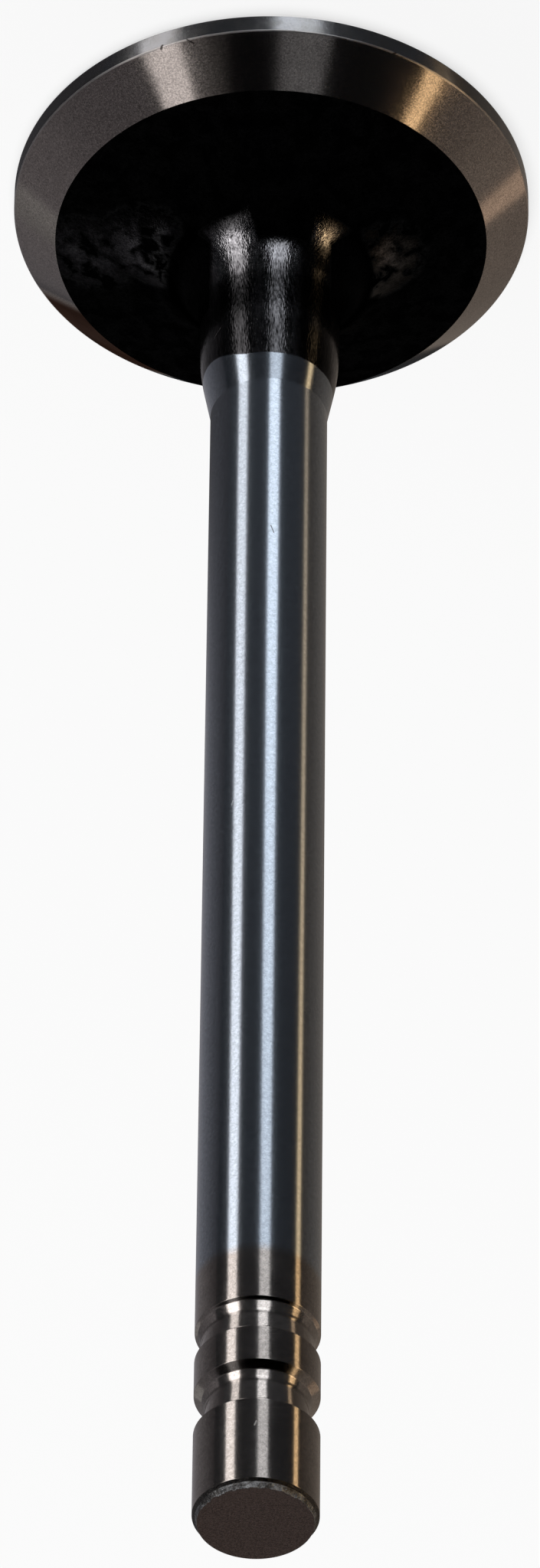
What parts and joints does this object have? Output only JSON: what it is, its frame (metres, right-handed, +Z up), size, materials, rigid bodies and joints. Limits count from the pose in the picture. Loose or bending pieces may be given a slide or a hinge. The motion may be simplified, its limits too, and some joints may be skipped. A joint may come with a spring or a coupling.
{
  "type": "engine exhaust valve",
  "caption": "One-piece poppet valve with a plated stem, ring grooves near the tip, a tulip neck and a ground conical seat round the head.",
  "frame": {"origin": "centre of the flat combustion face, on which the valve stands", "axes": "+Z up the stem from the combustion face to the tip; X and Y are any two directions across the round head"},
  "size_m": [0.039, 0.039, 0.126],
  "materials": {
    "valve_steel": "hard-plated and polished stem, black heat-treated underhead and neck, bare ground seat and rim, bare ground tip end"
  },
  "bodies": {
    "root": {"valve": "valve_steel"}
  },
  "joints": []
}
